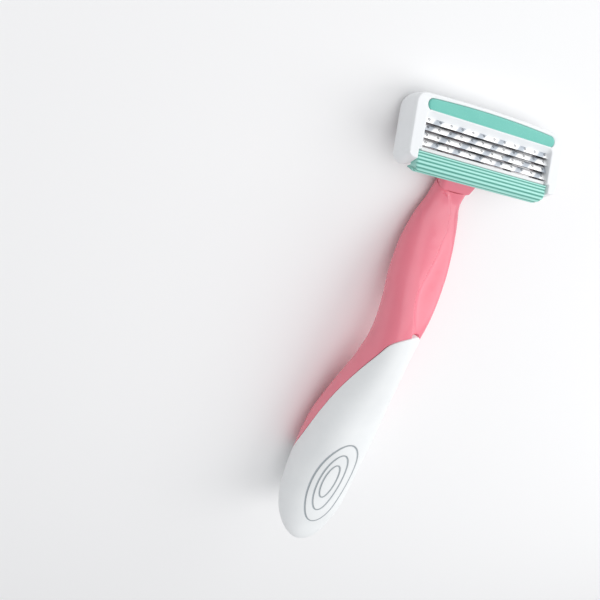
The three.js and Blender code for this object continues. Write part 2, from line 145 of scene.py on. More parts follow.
def add(tree, kind, settings=None, inputs=None):
    """Adds a node, sets its settings, and sets or links its inputs."""
    made = tree.nodes.new("ShaderNode" + kind)
    for name, value in (settings or {}).items():
        setattr(made, name, value)
    for name, value in (inputs or {}).items():
        if isinstance(value, bpy.types.NodeSocket):
            tree.links.new(value, made.inputs[name])
        else:
            made.inputs[name].default_value = value
    return made


def new_finish(name):
    material = bpy.data.materials.new(name)
    material.use_nodes = True
    material.node_tree.nodes.clear()
    return material, material.node_tree


def per_metre(millimetres):
    """The scale of a noise whose patches are this big."""
    return 1 / (millimetres * MM)


def close_finish(tree, shader):
    add(tree, "OutputMaterial", inputs={"Surface": shader.outputs["BSDF"]})


# %% Floor
def table_paint():
    # matt white paint on board: no gloss, a faint roller texture 2 mm across
    material, tree = new_finish("matt_white_paint")
    place = add(tree, "TexCoord")
    roller = add(
        tree, "TexNoise",
        inputs={"Vector": place.outputs["Object"], "Scale": per_metre(2.0), "Detail": 2},
    )
    relief = add(
        tree, "Bump",
        inputs={"Height": roller.outputs["Fac"], "Strength": 0.02, "Distance": 0.05 * MM},
    )
    shader = add(
        tree, "BsdfPrincipled",
        inputs={"Base Color": linear("#f7f7f7"), "Roughness": 0.9, "Normal": relief.outputs["Normal"]},
    )
    close_finish(tree, shader)
    return material


FLOOR_HALF = 3.0
floor_mesh = bpy.data.meshes.new("table_top")
floor_mesh.from_pydata(
    [(x * FLOOR_HALF, y * FLOOR_HALF, 0) for x, y in ((-1, -1), (1, -1), (1, 1), (-1, 1))], [],
    [(0, 1, 2, 3)],
)
floor = bpy.data.objects.new("table_top", floor_mesh)
floor_mesh.materials.append(table_paint())
bpy.context.scene.collection.objects.link(floor)

room = bpy.data.worlds.new("pale_room")
room.use_nodes = True
room.node_tree.nodes["Background"].inputs["Color"].default_value = linear("#fbfcff")
room.node_tree.nodes["Background"].inputs["Strength"].default_value = 0.46
bpy.context.scene.world = room

# %% [markdown]
# The pink handle and its docking piece are injection moulded ABS. Polished mould steel leaves a gloss
# with a very low orange peel, and the pigment runs a little where the melt flowed. A noise a few
# millimetres wide moves the colour, and two finer ones move the roughness and the surface.


# %% Pink gloss ABS
def moulded_plastic(name, colours, roughness, peel, flow=9.0, scatter=0.0):
    """Moulded plastic: pigment flow, a slight orange peel and fine handling marks."""
    material, tree = new_finish(name)
    place = add(tree, "TexCoord")
    pigment = add(
        tree, "TexNoise",
        inputs={"Vector": place.outputs["Object"], "Scale": per_metre(flow), "Detail": 3},
    )
    colour = add(
        tree, "Mix", {"data_type": "RGBA"},
        {0: pigment.outputs["Fac"], 6: linear(colours[0]), 7: linear(colours[1])},
    )
    handling = add(
        tree, "TexNoise",
        inputs={"Vector": place.outputs["Object"], "Scale": per_metre(1.6), "Detail": 6},
    )
    gloss = add(
        tree, "MapRange",
        inputs={"Value": handling.outputs["Fac"], 3: roughness * 0.85, 4: roughness * 1.2},
    )
    orange_peel = add(
        tree, "TexNoise",
        inputs={"Vector": place.outputs["Object"], "Scale": per_metre(peel), "Detail": 2},
    )
    relief = add(
        tree, "Bump",
        inputs={"Height": orange_peel.outputs["Fac"], "Strength": 0.12, "Distance": 0.02 * MM},
    )
    shader = add(
        tree, "BsdfPrincipled",
        inputs={
            "Base Color": colour.outputs[2], "Roughness": gloss.outputs["Result"], "IOR": 1.53,
            "Normal": relief.outputs["Normal"], "Subsurface Weight": scatter,
            "Subsurface Radius": (1.6 * MM, 0.9 * MM, 0.7 * MM), "Subsurface Scale": 1.0,
        },
    )
    close_finish(tree, shader)
    return material


# ABS polished in the mould: a clear gloss over an even pink, with a little light coming through
pink_abs = moulded_plastic("pink_gloss_abs", ("#f58a9b", "#ee8091"), 0.24, 0.5, scatter=0.1)
# the head's cover is bright white ABS, slightly less polished
white_abs = moulded_plastic("white_gloss_abs", ("#f3f5f6", "#eceff1"), 0.3, 0.4)
# the tray, the pusher and the plunger are POM, waxy and a little creamier than ABS
white_pom = moulded_plastic("white_waxy_pom", ("#eceeee", "#e4e7e8"), 0.42, 0.3)

# %% [markdown]
# The grip is a thermoplastic elastomer (TPE) moulded over the pink core. It feels like an eraser: matt,
# with a fine grain and a soft sheen. Concentric oval grooves are moulded in where the palm holds it.
# A groove is the distance from an oval turned into a narrow dip, which bends the light as a real one.


# %% White soft-touch TPE
GRIP_OVALS = [(0.4, 101.5, 5.7, 16.3), (0.9, 100.9, 3.4, 11.6), (1.2, 100.4, 1.9, 6.8)]
GROOVE_HALF = 0.34


def oval_groove(tree, place, oval):
    """1 in the middle of the groove along an oval (middle x, y, half width, half length), 0 outside."""
    x, y, across, along = oval
    centred = add(
        tree, "VectorMath", {"operation": "SUBTRACT"},
        {0: place, 1: (x * MM, (y + HANDLE_START) * MM, 0)},
    )
    scaled = add(
        tree, "VectorMath", {"operation": "MULTIPLY"},
        {0: centred.outputs[0], 1: (1 / (across * MM), 1 / (along * MM), 0)},
    )
    radius = add(tree, "VectorMath", {"operation": "LENGTH"}, {0: scaled.outputs[0]})
    # the radius grows faster across the oval than along it, and its own slope evens that out
    slope = add(
        tree, "VectorMath", {"operation": "MULTIPLY"},
        {0: scaled.outputs[0], 1: (1 / across, 1 / along, 0)},
    )
    steepness = add(tree, "VectorMath", {"operation": "LENGTH"}, {0: slope.outputs[0]})
    off_edge = add(tree, "Math", {"operation": "SUBTRACT"}, {0: radius.outputs[1], 1: 1})
    distance = add(
        tree, "Math", {"operation": "DIVIDE"},
        {0: off_edge.outputs[0], 1: steepness.outputs[1]},
    )
    away = add(tree, "Math", {"operation": "ABSOLUTE"}, {0: distance.outputs[0]})
    return add(
        tree, "MapRange", {"interpolation_type": "SMOOTHSTEP"},
        {"Value": away.outputs[0], 1: 0.08, 2: GROOVE_HALF, 3: 1, 4: 0},
    )


def soft_touch():
    material, tree = new_finish("white_soft_touch_tpe")
    place = add(tree, "TexCoord").outputs["Object"]
    grooves = None
    for oval in GRIP_OVALS:
        groove = oval_groove(tree, place, oval).outputs[0]
        if grooves is not None:
            groove = add(tree, "Math", {"operation": "MAXIMUM"}, {0: groove, 1: grooves}).outputs[0]
        grooves = groove
    # the ovals are on the front of the grip only
    height = add(tree, "SeparateXYZ", inputs={0: place})
    front = add(tree, "Math", {"operation": "GREATER_THAN"}, {0: height.outputs["Z"], 1: 13 * MM})
    engraved = add(tree, "Math", {"operation": "MULTIPLY"}, {0: grooves, 1: front.outputs[0]})
    handling = add(tree, "TexNoise", inputs={"Vector": place, "Scale": per_metre(7), "Detail": 4})
    skin = add(
        tree, "Mix", {"data_type": "RGBA"},
        {0: handling.outputs["Fac"], 6: linear("#f6f8f8"), 7: linear("#eef1f2")},
    )
    # the grooves are painted grey, as painted shade inside them
    colour = add(
        tree, "Mix", {"data_type": "RGBA"},
        {0: engraved.outputs[0], 6: skin.outputs[2], 7: linear("#a4adb2")},
    )
    # the spark-eroded mould leaves a grain 0.25 mm across
    grain = add(tree, "TexNoise", inputs={"Vector": place, "Scale": per_metre(0.25), "Detail": 2})
    grained = add(
        tree, "Bump",
        inputs={"Height": grain.outputs["Fac"], "Strength": 0.25, "Distance": 0.02 * MM},
    )
    cut = add(
        tree, "Bump", {"invert": True},
        {
            "Height": engraved.outputs[0], "Strength": 0.9, "Distance": 0.25 * MM,
            "Normal": grained.outputs["Normal"],
        },
    )
    shader = add(
        tree, "BsdfPrincipled",
        inputs={
            "Base Color": colour.outputs[2], "Roughness": 0.55, "IOR": 1.5, "Sheen Weight": 0.15,
            "Sheen Roughness": 0.5, "Normal": cut.outputs["Normal"],
        },
    )
    close_finish(tree, shader)
    return material


white_tpe = soft_touch()

# %% [markdown]
# The two teal pieces differ. The strip over the blades is a waxy polymer that dissolves slowly, full
# of fine specks. The guard is a rubbery TPE, whose ribs are painted lighter on their crests, a painted
# highlight, and darker in their grooves, a painted shade.


# %% Teal strip and guard
def lubricating_polymer():
    material, tree = new_finish("teal_lubricating_polymer")
    place = add(tree, "TexCoord").outputs["Object"]
    cloud = add(tree, "TexNoise", inputs={"Vector": place, "Scale": per_metre(5), "Detail": 3})
    body = add(
        tree, "Mix", {"data_type": "RGBA"},
        {0: cloud.outputs["Fac"], 6: linear("#7accbd"), 7: linear("#6bc0b3")},
    )
    specks = add(tree, "TexVoronoi", inputs={"Vector": place, "Scale": per_metre(0.45), "Randomness": 1})
    speck = add(
        tree, "MapRange", {"interpolation_type": "SMOOTHSTEP"},
        {"Value": specks.outputs["Distance"], 1: 0.1, 2: 0.3, 3: 0.35, 4: 0},
    )
    colour = add(
        tree, "Mix", {"data_type": "RGBA"},
        {0: speck.outputs[0], 6: body.outputs[2], 7: linear("#93dacd")},
    )
    relief = add(
        tree, "Bump",
        inputs={"Height": speck.outputs[0], "Strength": 0.1, "Distance": 0.03 * MM},
    )
    shader = add(
        tree, "BsdfPrincipled",
        inputs={
            "Base Color": colour.outputs[2], "Roughness": 0.42, "IOR": 1.46,
            "Normal": relief.outputs["Normal"],
        },
    )
    close_finish(tree, shader)
    return material


def rib_rubber():
    material, tree = new_finish("teal_guard_tpe")
    place = add(tree, "TexCoord").outputs["Object"]
    crest = add(tree, "Attribute", {"attribute_name": "rib_height"})
    # the crests are painted light and the grooves dark: a painted highlight and shade that follow the rib
    # height
    colour = add(
        tree, "Mix", {"data_type": "RGBA"},
        {0: crest.outputs["Fac"], 6: linear("#3f9788"), 7: linear("#b4f0e4")},
    )
    grain = add(tree, "TexNoise", inputs={"Vector": place, "Scale": per_metre(0.2), "Detail": 2})
    relief = add(
        tree, "Bump",
        inputs={"Height": grain.outputs["Fac"], "Strength": 0.2, "Distance": 0.015 * MM},
    )
    shader = add(
        tree, "BsdfPrincipled",
        inputs={
            "Base Color": colour.outputs[2], "Roughness": 0.46, "IOR": 1.5, "Sheen Weight": 0.1,
            "Normal": relief.outputs["Normal"],
        },
    )
    close_finish(tree, shader)
    return material


teal_polymer = lubricating_polymer()
teal_tpe = rib_rubber()

# %% [markdown]
# Blades are hardened stainless strip. Rolling leaves fine lines along the strip. The soft grey patches
# between bright ones, which a lamp shows in a strip that isn't quite flat, are painted reflections in
# the steel's colour. A band texture turned by 54 degrees paints them, so that they step from one blade to
# the next.


# %% Steel
def rolled_steel(name, bright, dull, roughness, patch_length, line_width):
    """Stainless strip: rolling lines along its length, and painted soft patches of duller reflection."""
    material, tree = new_finish(name)
    place = add(tree, "TexCoord").outputs["Object"]
    turned = add(tree, "Mapping", inputs={"Vector": place, "Rotation": (0, 0, 0.95)})
    patches = add(
        tree, "TexWave", {"wave_type": "BANDS", "bands_direction": "X"},
        {
            "Vector": turned.outputs[0], "Scale": per_metre(patch_length) / 3.18, "Distortion": 2.2,
            "Detail": 1, "Detail Scale": 0.6,
        },
    )
    # the patches paint a duller reflection into the steel's colour
    painted_reflection = add(
        tree, "MapRange", {"interpolation_type": "SMOOTHSTEP"},
        {"Value": patches.outputs["Fac"], 1: 0.6, 2: 0.95},
    )
    colour = add(
        tree, "Mix", {"data_type": "RGBA"},
        {0: painted_reflection.outputs[0], 6: linear(bright), 7: linear(dull)},
    )
    along = add(
        tree, "Mapping",
        inputs={"Vector": place, "Scale": (per_metre(9), per_metre(line_width), per_metre(line_width))},
    )
    lines = add(tree, "TexNoise", inputs={"Vector": along.outputs[0], "Scale": 1, "Detail": 3})
    relief = add(
        tree, "Bump",
        inputs={"Height": lines.outputs["Fac"], "Strength": 0.15, "Distance": 0.01 * MM},
    )
    shader = add(
        tree, "BsdfPrincipled",
        inputs={
            "Base Color": colour.outputs[2], "Metallic": 1, "Roughness": roughness,
            "Normal": relief.outputs["Normal"],
        },
    )
    close_finish(tree, shader)
    return material


# ground and honed strip, bright and fine
blade_steel = rolled_steel("honed_blade_steel", "#fefefe", "#c2c8cf", 0.55, 3.2, 0.12)
# the bent supports are plain strip, painted dark as the shade in the narrow gaps between the blades
support_steel = rolled_steel("bent_support_steel", "#666c73", "#4d5258", 0.45, 6.0, 0.2)
# drawn spring wire keeps lines of the die along it
spring_wire = rolled_steel("drawn_spring_wire", "#c9ced4", "#a9b0b8", 0.25, 3.0, 0.1)
# a laser weld leaves a dark oxide skin
weld_oxide = rolled_steel("weld_oxide", "#2c2f36", "#1d2026", 0.5, 2.0, 0.3)

# %% [markdown]
# A moulded shape is drawn as a row of closed loops with equally many points, like the contour lines of
# a hill. Skinning the loops with four-sided faces gives smooth shading, and rounded edges are only a
# few more loops. Flat ends are filled afterwards.


# %% Loops and skins
def arc(centre, radius, start, end, steps):
    """Points on an arc, angles in degrees."""
    angles = np.radians(np.linspace(start, end, steps + 1))
    return [(centre[0] + radius * math.cos(a), centre[1] + radius * math.sin(a)) for a in angles]


def rounded_loop(half, low, high, radius, height, steps=12):
    """A rounded rectangle as a loop: half its width, its low and high edges, its corners' radius."""
    right, top, bottom = half - radius, high - radius, low + radius
    corners = [(right, bottom, -90), (right, top, 0), (-right, top, 90), (-right, bottom, 180)]
    points = [p for x, y, turn in corners for p in arc((x, y), radius, turn, turn + 90, steps)]
    return np.array([(x, y, height) for x, y in points])


def smooth_path(points, steps):
    """A smooth curve through points, in centripetal Catmull-Rom form, so that it never overshoots."""
    points = np.array(points, float)
    padded = np.vstack([2 * points[0] - points[1], points, 2 * points[-1] - points[-2]])
    out = []
    for p0, p1, p2, p3 in zip(padded, padded[1:], padded[2:], padded[3:]):
        gaps = [max(np.linalg.norm(b - a), 1e-9) ** 0.5 for a, b in ((p0, p1), (p1, p2), (p2, p3))]
        leave = ((p1 - p0) / gaps[0] - (p2 - p0) / (gaps[0] + gaps[1]) + (p2 - p1) / gaps[1]) * gaps[1]
        arrive = ((p2 - p1) / gaps[1] - (p3 - p1) / (gaps[1] + gaps[2]) + (p3 - p2) / gaps[2]) * gaps[1]
        for t in np.arange(steps) / steps:
            bend = (-3 * p1 + 3 * p2 - 2 * leave - arrive) * t * t
            out.append(p1 + leave * t + bend + (2 * p1 - 2 * p2 + leave + arrive) * t**3)
    return np.array(out + [points[-1]])


class Shape:
    """Points and faces of one piece while it is being made, in that piece's own axes."""

    def __init__(self):
        self.points = []
        self.faces = []

    def loops(self, loops, closed=False, ends=(False, False)):
        """Skins a row of loops. closed joins the last to the first, ends fills the first and last."""
        first = len(self.points)
        count = len(loops[0])
        for loop in loops:
            self.points.extend(map(tuple, loop))
        rows = len(loops) if closed else len(loops) - 1
        for row in range(rows):
            a = first + row * count
            b = first + (row + 1) % len(loops) * count
            for i in range(count):
                j = (i + 1) % count
                self.faces.append((a + i, a + j, b + j, b + i))
        if ends[0]:
            self.faces.append(tuple(range(first + count - 1, first - 1, -1)))
        if ends[1]:
            last = first + (len(loops) - 1) * count
            self.faces.append(tuple(range(last, last + count)))
        return self

    def moved(self, matrix):
        points = np.c_[np.array(self.points), np.ones(len(self.points))] @ matrix.T
        self.points = list(map(tuple, points[:, :3]))
        return self

    def add(self, other):
        first = len(self.points)
        self.points.extend(other.points)
        self.faces.extend(tuple(first + i for i in face) for face in other.faces)
        return self


# %% Putting a piece on its body
def finish_mesh(mesh, sharp_angle):
    """Faces outwards, smooth shading, and a crisp edge wherever faces meet steeply."""
    work = bmesh.new()
    work.from_mesh(mesh)
    bmesh.ops.remove_doubles(work, verts=work.verts, dist=0.002 * MM)
    bmesh.ops.recalc_face_normals(work, faces=work.faces)
    work.to_mesh(mesh)
    work.free()
    mesh.shade_smooth()
    mesh.set_sharp_from_angle(angle=math.radians(sharp_angle))


def put(node, shape, place, material, body, slot, sharp_angle=50):
    """Makes a shape's mesh in metres, and lets it ride in place of its CAD node."""
    shape.moved(place)
    mesh = bpy.data.meshes.new(node + "_piece")
    mesh.from_pydata([tuple(c * MM for c in p) for p in shape.points], [], shape.faces)
    finish_mesh(mesh, sharp_angle)
    mesh.materials.append(material)
    piece = bpy.data.objects.new(node + "_piece", mesh)
    bpy.context.scene.collection.objects.link(piece)
    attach(piece, body)
    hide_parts(node)
    print(node, "faces:", len(mesh.polygons))
    return piece


# %% [markdown]
# The handle is one long curved body. A line of stations gives its middle and its half width and half
# depth, and every cross section between them is a squarish ellipse. The pink front and the white grip
# share this one surface, so they meet exactly along the grip's slanting edge.

# %% The handle's stations
HANDLE = [  # y, z, half width, half depth
    (10.6, 3.6, 4.4, 2.6), (15.5, 3.0, 4.5, 2.7), (20.5, 3.5, 5.9, 3.2),
    (27.5, 5.2, 7.1, 4.5), (34.5, 7.6, 7.3, 5.5), (43.0, 10.4, 6.5, 6.3),
    (53.0, 11.5, 5.7, 6.6), (63.0, 11.4, 6.6, 6.9), (75.0, 10.2, 8.4, 7.8),
    (90.0, 9.3, 9.7, 9.6), (104.0, 10.3, 10.2, 8.9), (112.0, 11.5, 10.2, 8.3),
    (121.0, 13.5, 10.2, 8.0), (129.5, 17.6, 10.2, 7.8),
]
BUTT_LENGTH = 20.0
SQUARENESS = 2.3
CORE_INSET = 1.8
STEPS = 60

spine = smooth_path([row[:2] for row in HANDLE], STEPS)
girth = smooth_path([row[2:] for row in HANDLE], STEPS)
spine_length = np.r_[0, np.cumsum(np.linalg.norm(np.diff(spine, axis=0), axis=1))]
spine_slope = np.gradient(spine, spine_length, axis=0)
print("handle's middle line, mm:", spine_length[-1].round(1))


# %% The handle's surface
def on_handle(along, angle, inset=0.0):
    """Points on the handle: millimetres along its middle line, and an angle round it, 90 on top."""
    along, angle, inset = np.broadcast_arrays(along, angle, inset)
    butt = spine_length[-1] - BUTT_LENGTH
    # the last stretch closes as the end of an ellipse does
    into_butt = np.clip((along - butt) / BUTT_LENGTH, 0, 1)
    closing = np.sqrt(np.maximum(1 - into_butt**2, 1e-6))
    y, z = (np.interp(along, spine_length, spine[:, i]) for i in (0, 1))
    lean_y, lean_z = (np.interp(along, spine_length, spine_slope[:, i]) for i in (0, 1))
    length = np.hypot(lean_y, lean_z)
    width, depth = (np.interp(along, spine_length, girth[:, i]) - inset for i in (0, 1))
    cosine, sine = np.cos(angle), np.sin(angle)
    across = np.sign(cosine) * np.abs(cosine) ** (2 / SQUARENESS) * width * closing
    upward = np.sign(sine) * np.abs(sine) ** (2 / SQUARENESS) * depth * closing
    points = np.stack([across, y - lean_z / length * upward, z + lean_y / length * upward], -1)
    points[..., 2] = np.maximum(points[..., 2], 0)
    return points


# the grip's edge seen from the side (y, z), from the front down to the back
GRIP_EDGE = [
    (45.6, 30.0), (46.4, 18.6), (48.0, 17.0), (52.5, 15.6), (61.0, 12.9),
    (71.0, 10.6), (82.0, 8.9), (92.0, 6.9), (102.0, 2.8), (107.0, -6.0),
]
GRIP_SKEW = 0.5
SEAM = 0.07
AROUND = 192

edge_curve = smooth_path(GRIP_EDGE, 12)
# more of the points go to the front, where the light shows the most
lap = np.arange(AROUND) / AROUND * 2 * math.pi
angles = lap + 0.35 * np.cos(lap)


def past_edge(along, angle):
    """How far a point of the handle is past the grip's edge, along y."""
    x, y, z = np.moveaxis(on_handle(along, angle), -1, 0)
    edge = np.interp(-z, -edge_curve[:, 1], edge_curve[:, 0])
    return y - GRIP_SKEW * x - edge


def where(test, low, high, angle):
    """Halves the stretch from low to high until it closes on the place where test changes sign."""
    low = np.full(len(angle), float(low))
    high = np.full(len(angle), float(high))
    for _ in range(40):
        middle = (low + high) / 2
        beyond = test(middle, angle) > 0
        low = np.where(beyond, low, middle)
        high = np.where(beyond, middle, high)
    return (low + high) / 2


edge_at = where(past_edge, 5, spine_length[-1] - 1, angles)
edge_line = on_handle(edge_at, angles)
step_round = np.linalg.norm(np.roll(edge_line, -1, 0) - np.roll(edge_line, 1, 0), axis=1)
step_along = np.abs(np.roll(edge_at, -1) - np.roll(edge_at, 1))
# where the edge runs aslant, a gap along the handle has to be wider to stay as wide across the seam
slant = step_round / np.sqrt(np.maximum(step_round**2 - step_along**2, (0.15 * step_round) ** 2))
print("grip's edge along the handle, mm:", edge_at.min().round(1), edge_at.max().round(1))

# %% [markdown]
# The front of the neck carries the moulder's styling: a leaf-shaped panel with an arched top, and a
# scoop on one side whose steep wall makes a crease. It is carved into the smooth surface by lowering
# points by a depth that depends on where they are, the way a sculptor works with a gauge.


# %% Leaf panel, crease and scoop
LEAF_ARCH = [(5.3, 19.0), (4.9, 16.2), (4.2, 14.0), (3.3, 13.0)]
LEAF_ARCH += [(2.0, 13.1), (0.7, 14.1), (-0.4, 15.8), (-1.5, 18.0)]
CREASE = [(-2.3, 20.0), (-2.1, 21.9), (-1.5, 24.2), (-1.1, 26.8), (-0.1, 30.0), (1.0, 33.2), (1.9, 36.3)]
CREASE += [(1.4, 40.0), (0.4, 43.0), (-0.5, 46.2), (-1.2, 50.0)]
RIDGE = [(-1.9, 20.0), (0.6, 22.5), (2.3, 25.5), (2.4, 29.0), (2.35, 32.0), (1.95, 36.3)]
SCOOP_DEPTH = [(19.0, 0.0), (23.0, 0.4), (27.0, 1.1), (31.0, 1.7), (36.3, 2.0), (42.0, 1.7), (50.0, 1.1)]
ARCH_LEFT = [(13.0, 3.3), (14.0, 4.2), (16.2, 4.9), (19.0, 5.3), (60.0, 5.3)]
ARCH_RIGHT = [(13.0, 3.0), (14.1, 0.7), (15.8, -0.4), (18.0, -1.5), (22.0, -2.2), (60.0, -2.2)]
ARCH_STEP = 0.42
SEAT = {"half": 2.85, "front": 15.3, "back": 25.3, "roof": 2.3}
TONGUE = {"half": 1.5, "back": 17.0, "roof": 1.95}

leaf_arch = smooth_path(LEAF_ARCH, 8)
crease = smooth_path(CREASE, 8)
ridge = smooth_path(RIDGE, 8)


def ease(value):
    value = np.clip(value, 0, 1)
    return value * value * (3 - 2 * value)


def carve(points, angle):
    """Lowers the front of the neck to form the panel's arch, the crease and the scoop beside it."""
    x, y, z = np.moveaxis(points, -1, 0)
    front = ease(np.sin(angle) * 2.5)
    half = np.interp(y, [row[0] for row in HANDLE], [row[2] for row in HANDLE])
    crease_x = np.interp(y, crease[:, 1], crease[:, 0])
    beside = crease_x - x
    room = np.maximum(half * 0.93 + crease_x, 0.5)
    depth = np.interp(y, *np.array(SCOOP_DEPTH).T)
    across = np.clip(beside / room, 0, 1)
    # steep at the crease, flat at the bottom, and back up gently to the rim
    scoop = np.where(beside > 0, depth * np.sin(math.pi * across**0.62), 0)
    ridge_x = np.interp(y, ridge[:, 1], ridge[:, 0], left=-9, right=-9)
    facet = np.clip((ridge_x - x) / np.maximum(ridge_x - crease_x, 0.4), 0, 1)
    facet = np.where((ridge_x > crease_x) & (y > 20), facet * 0.16, 0)
    facet = facet * ease((y - 21) / 4) * ease((36.3 - y) / 3) * (1 - across) ** 0.5
    # outside the arch the neck is a step lower than the panel
    nearest = np.full(x.shape, 99.0)
    for a, b in zip(leaf_arch, leaf_arch[1:]):
        run = b - a
        share = np.clip(((x - a[0]) * run[0] + (y - a[1]) * run[1]) / (run @ run), 0, 1)
        gap = np.hypot(x - a[0] - share * run[0], y - a[1] - share * run[1])
        nearest = np.minimum(nearest, gap)
    left, right = (np.interp(y, *np.array(side).T) for side in (ARCH_LEFT, ARCH_RIGHT))
    inside = (y > 13.0) & (x < left) & (x > right)
    signed = np.where(inside, -nearest, nearest)
    fade = 1 - ease((y - 16.5) / 6)
    step = ARCH_STEP * ease((signed + 0.15) / 0.7) * fade
    lowered = points.copy()
    # under the neck, the seat of the release button and the way of its tongue are pressed in
    under_button = (np.abs(x) < SEAT["half"]) & (y > SEAT["front"]) & (y < SEAT["back"]) & (z < 2.2)
    under_tongue = (np.abs(x) < TONGUE["half"]) & (y < TONGUE["back"]) & (z < TONGUE["roof"])
    raised = np.where(under_button, SEAT["roof"], np.where(under_tongue, TONGUE["roof"], z))
    lowered[..., 2] = raised - front * (scoop + facet + step)
    return lowered



# %% Pink handle
NECK_ROWS = 170
LIP = 0.18
NECK_FACE = -4.6  # along the nose's axis, where the neck stops behind the docking piece


def past_neck_face(along, angle):
    points = on_handle(along, angle) + (0, HANDLE_START, 0) - PIVOT
    return NECK_FACE - points @ NOSE_OUT


def quarter_round(steps):
    """A rounded edge as (share of the radius along, share of it inwards)."""
    turn = np.linspace(0, math.pi / 2, steps + 1)
    return list(zip(1 - np.cos(turn), 1 - np.sin(turn)))


def handle_skin():
    start = where(past_neck_face, 0, 8, angles)
    stop = edge_at - SEAM * slant
    loops = [on_handle(start, angles, 2.0)]
    for along, inward in quarter_round(5):
        loops.append(on_handle(start + LIP * along, angles, LIP * inward))
    for t in np.linspace(0, 1, NECK_ROWS):
        along = start + LIP + (stop - LIP * 0.6 * slant - start - LIP) * t
        loops.append(carve(on_handle(along, angles), angles))
    # the edge along the seam turns in, runs down to the core and back through the grip
    for along, inward in quarter_round(4)[::-1][1:]:
        place = on_handle(stop - LIP * 0.6 * slant * along, angles, LIP * 0.6 * inward)
        loops.append(carve(place, angles))
    loops.append(on_handle(stop, angles, CORE_INSET + 0.02))
    core_end = spine_length[-1] - CORE_INSET
    for t in np.linspace(0.06, 1, 40):
        turn = np.sin(t * math.pi / 2)
        loops.append(on_handle(stop + (core_end - stop) * turn, angles, CORE_INSET + 0.02))
    return Shape().loops(loops, ends=(True, True))


def nose_skin():
    """The nose that the cartridge clips on, with the plunger's hole in its end."""
    middle, half, tall = -1.2, 3.2, 1.9
    loops = []
    for along, inward in [(-6.2, 0.0), (-2.45, 0.0), (-2.3, 0.06), (-2.2, 0.25)]:
        low, high = middle - tall + inward, middle + tall - inward
        loops.append(rounded_loop(half - inward, low, high, 0.5, along))
    for radius, along in [(1.1, -2.2), (0.97, -2.27), (0.95, -2.4), (0.95, -4.0)]:
        loops.append(rounded_loop(radius, middle - radius, middle + radius, radius, along))
    return Shape().loops(loops, ends=(True, True))


handle_shape = handle_skin().moved(HANDLE_AXES).add(nose_skin().moved(DOCK))
put("handle_body", handle_shape, np.eye(4), pink_abs, "handle", "pink_plastic", 42)


# %% White grip
GRIP_ROWS = 150


def grip_skin():
    start = edge_at + SEAM * slant
    end = spine_length[-1]
    loops = []
    # the inside, from the butt back to the edge
    for t in np.linspace(1, 0.04, 24):
        turn = np.sin(t * math.pi / 2)
        inner_end = end - CORE_INSET + 0.1
        loops.append(on_handle(start + (inner_end - start) * turn, angles, CORE_INSET - 0.1))
    loops.append(on_handle(start, angles, CORE_INSET - 0.1))
    radius = 0.35
    for along, inward in quarter_round(5):
        loops.append(on_handle(start + radius * slant * along, angles, radius * inward))
    straight = end - BUTT_LENGTH
    first = start + radius * slant
    for t in np.linspace(0, 1, GRIP_ROWS)[1:]:
        loops.append(on_handle(first + (straight - first) * t, angles))
    for turn in np.linspace(0, math.pi / 2, 40)[1:]:
        loops.append(on_handle(straight + BUTT_LENGTH * 0.997 * math.sin(turn), angles))
    return Shape().loops(loops, ends=(True, True))


put("soft_grip", grip_skin(), HANDLE_AXES, white_tpe, "handle", "soft_white", 60)

# %% [markdown]
# The cover frame is one moulding: two broad end faces, the cap between them, and a window that is open
# on the guard's side. Its outline is a U. Each point of the outline carries the direction away from
# the plastic, and a share that says whether it follows the outer side or the window's sloping wall.

# %% Cover frame: outline
FRAME_HALF, FRAME_LOW, FRAME_HIGH, FRAME_ARCH = 19.8, -6.3, 8.0, 0.45
FACE, BACK, ROOF, WALL = 0.8, -5.3, -1.3, 1.2
WINDOW_HALF, WINDOW_TOP = 16.5, 3.9
SEAT_HALF, SEAT_TOP = 17.15, -4.0
CORNER, LOW_CORNER = 2.7, 2.0


def arch(start, end, rise, steps):
    """The cap's long edge, which bows outwards between two points."""
    t = np.linspace(0, 1, steps + 1)[1:-1]
    return [(start[0] + (end[0] - start[0]) * k, start[1] + rise * 4 * k * (1 - k)) for k in t]


def frame_outline():
    """The U as (x, y, share of the outer side), counterclockwise."""
    right, high = FRAME_HALF - CORNER, FRAME_HIGH - CORNER
    low_right, low = FRAME_HALF - LOW_CORNER, FRAME_LOW + LOW_CORNER
    outer = arc((low_right, low), LOW_CORNER, -90, 0, 14) + arc((right, high), CORNER, 0, 90, 14)
    outer += arch((right, FRAME_HIGH), (-right, FRAME_HIGH), FRAME_ARCH, 48)
    outer += arc((-right, high), CORNER, 90, 180, 14) + arc((-low_right, low), LOW_CORNER, 180, 270, 14)
    foot = 0.3
    left_foot = arc((-SEAT_HALF - foot, FRAME_LOW + foot), foot, 270, 360, 5)
    left_step = arc((-SEAT_HALF + 0.15, SEAT_TOP - 0.15), 0.15, 180, 90, 3)
    left_step += arc((-WINDOW_HALF - 0.15, SEAT_TOP + 0.15), 0.15, -90, 0, 3)
    inner = 0.9
    left_top = arc((-WINDOW_HALF + inner, WINDOW_TOP - inner), inner, 180, 90, 10)
    reach = WINDOW_HALF - inner
    middle = [(x, WINDOW_TOP) for x in np.linspace(-reach, reach, 30)[1:-1]]
    left_side = left_step + left_top
    right_side = [(-x, y) for x, y in left_side[::-1]]
    right_foot = [(-x, y) for x, y in left_foot[::-1]]
    points = [(x, y, 1.0) for x, y in outer]
    points += [(x, y, 1 - k / 5) for k, (x, y) in enumerate(left_foot)]
    points += [(x, y, 0.0) for x, y in left_side + middle + right_side]
    points += [(x, y, k / 5) for k, (x, y) in enumerate(right_foot)]
    steps = zip(points, points[-1:] + points[:-1])
    return np.array([p for p, before in steps if math.dist(p[:2], before[:2]) > 0.01])


def outward(points):
    """Mitred directions away from the material along a counterclockwise outline."""
    before = points - np.roll(points, 1, 0)
    after = np.roll(points, -1, 0) - points
    first, second = (
        np.c_[run[:, 1], -run[:, 0]] / np.linalg.norm(run, axis=1)[:, None] for run in (before, after)
    )
    return (first + second) / (1 + (first * second).sum(1))[:, None]


